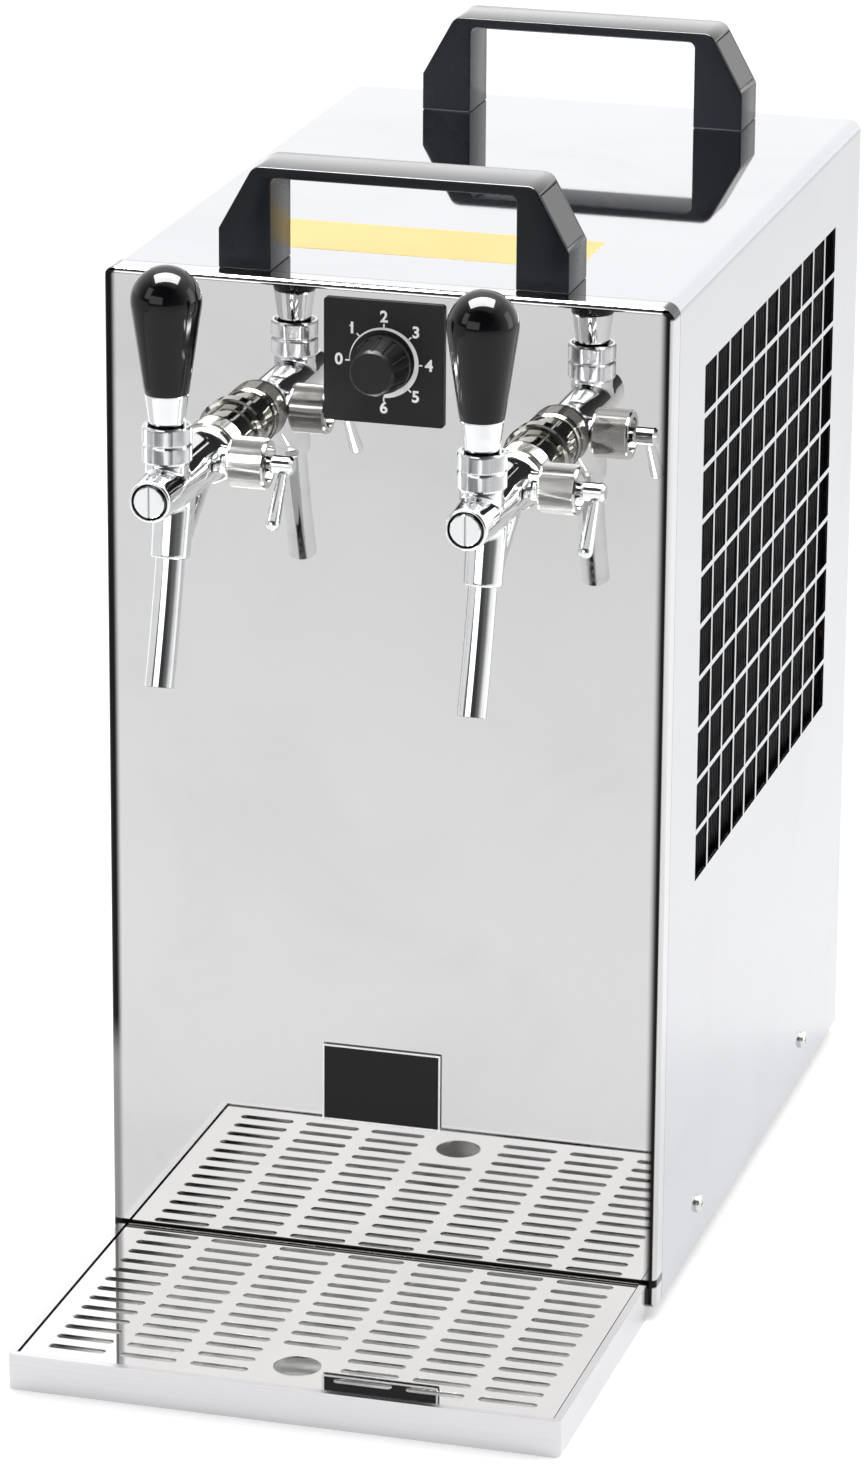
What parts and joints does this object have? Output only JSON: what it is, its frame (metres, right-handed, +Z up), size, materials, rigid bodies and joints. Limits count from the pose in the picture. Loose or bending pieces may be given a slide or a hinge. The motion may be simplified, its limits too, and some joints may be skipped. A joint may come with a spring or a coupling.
{
  "type": "beer tap cooler",
  "caption": "Counter-top drink cooler in folded stainless steel with compensator taps, tilting tap handles, carry handles, a thermostat dial, side grilles and a drip tray with a lift-out grid.",
  "frame": {"origin": "on the floor at the middle of the bounding box", "axes": "+Z up; -Y to the front, where the taps and the drip tray are; +X to the viewer's right"},
  "size_m": [0.264, 0.555, 0.521],
  "materials": {
    "mirror_steel": "mirror polished",
    "satin_steel": "satin",
    "zinc_steel": "galvanised",
    "bright_screw": "bright",
    "chrome": "polished",
    "brass": "machined",
    "copper": "drawn",
    "aluminium": "cast",
    "black_paint": "satin",
    "black_rubber": "matt",
    "handle_plastic": "fine grain",
    "grip_plastic": "gloss",
    "knob_plastic": "satin",
    "scale_plastic": "matt",
    "plate_black": "satin",
    "white_plastic": "satin",
    "blue_plastic": "satin",
    "fan_plastic": "matt",
    "foam": "closed cell foam",
    "hose": "translucent"
  },
  "bodies": {
    "cabinet": {"base_pan": "zinc_steel", "feet": "black_rubber", "cover": "mirror_steel", "cover_screws": "bright_screw", "front_panel": "mirror_steel", "rear_panel": "satin_steel", "carry_handle_front": "handle_plastic", "carry_handle_rear": "handle_plastic", "handle_caps": "handle_plastic", "thermostat_plate": "scale_plastic", "thermostat": "white_plastic", "thermostat_probe": "copper", "name_plate": "plate_black", "shank_nuts": "brass", "union_nuts": "chrome", "front_plugs": "chrome", "bonnet_nuts": "chrome", "compensator_sleeves": "chrome", "condenser": "black_paint", "fan_shroud": "zinc_steel", "fan_motor": "black_paint", "compressor": "black_paint", "compressor_mounts": "black_rubber", "cooling_block": "aluminium", "insulation_jacket": "foam", "beer_lines": "hose", "refrigerant_lines": "copper", "filter_drier": "copper", "drink_inlets": "white_plastic", "cord_gland": "knob_plastic", "shank_left": "chrome", "tap_body_left": "chrome", "spout_left": "chrome", "shank_right": "chrome", "tap_body_right": "chrome", "spout_right": "chrome"},
    "handle_left": {"tap_lever_left": "chrome", "handle_locknut_left": "chrome", "handle_ferrule_left": "chrome", "handle_grip_left": "grip_plastic"},
    "valve_left": {"valve_shaft_left": "brass"},
    "compensator_left": {"compensator_stem_left": "chrome", "compensator_lever_left": "chrome"},
    "collet_left": {"inlet_collet_left": "blue_plastic"},
    "handle_right": {"tap_lever_right": "chrome", "handle_locknut_right": "chrome", "handle_ferrule_right": "chrome", "handle_grip_right": "grip_plastic"},
    "valve_right": {"valve_shaft_right": "brass"},
    "compensator_right": {"compensator_stem_right": "chrome", "compensator_lever_right": "chrome"},
    "collet_right": {"inlet_collet_right": "blue_plastic"},
    "thermostat_dial": {"thermostat_shaft": "zinc_steel", "thermostat_knob": "knob_plastic"},
    "tray": {"drip_tray": "satin_steel"},
    "grid": {"drip_grid": "mirror_steel"},
    "fan": {"fan_rotor": "fan_plastic"}
  },
  "joints": [
    {"name": "handle_left_tilt", "type": "hinge", "parent": "cabinet", "child": "handle_left", "pos_m": [-0.07, -0.2135, 0.411], "axis": [1, 0, 0], "range_deg": [0, 30]},
    {"name": "valve_left_slide", "type": "slide", "parent": "cabinet", "child": "valve_left", "axis": [0, 1, 0], "range_m": [0, 0.0042]},
    {"name": "compensator_left_turn", "type": "hinge", "parent": "cabinet", "child": "compensator_left", "pos_m": [-0.07, -0.1665, 0.403], "axis": [1, 0, 0], "range_deg": [-120, 40]},
    {"name": "collet_left_press", "type": "slide", "parent": "cabinet", "child": "collet_left", "axis": [0, -1, 0], "range_m": [0, 0.0015]},
    {"name": "handle_right_tilt", "type": "hinge", "parent": "cabinet", "child": "handle_right", "pos_m": [0.07, -0.2135, 0.411], "axis": [1, 0, 0], "range_deg": [0, 30]},
    {"name": "valve_right_slide", "type": "slide", "parent": "cabinet", "child": "valve_right", "axis": [0, 1, 0], "range_m": [0, 0.0042]},
    {"name": "compensator_right_turn", "type": "hinge", "parent": "cabinet", "child": "compensator_right", "pos_m": [0.07, -0.1665, 0.403], "axis": [1, 0, 0], "range_deg": [-120, 40]},
    {"name": "collet_right_press", "type": "slide", "parent": "cabinet", "child": "collet_right", "axis": [0, -1, 0], "range_m": [0, 0.0015]},
    {"name": "thermostat_turn", "type": "hinge", "parent": "cabinet", "child": "thermostat_dial", "pos_m": [0, -0.1205, 0.44025], "axis": [0, 1, 0], "range_deg": [0, 270]},
    {"name": "tray_pull", "type": "slide", "parent": "cabinet", "child": "tray", "axis": [0, -1, 0], "range_m": [0, 0.1]},
    {"name": "grid_lift", "type": "slide", "parent": "tray", "child": "grid", "axis": [0, 0, 1], "range_m": [0, 0.06]},
    {"name": "fan_spin", "type": "hinge", "parent": "cabinet", "child": "fan", "pos_m": [0.08, 0.074, 0.31175], "axis": [1, 0, 0], "continuous": true}
  ],
  "couplings": [
    {"joint": "valve_left_slide", "follows": "handle_left_tilt", "m_per_rad": 0.007639},
    {"joint": "valve_right_slide", "follows": "handle_right_tilt", "m_per_rad": 0.007639}
  ]
}
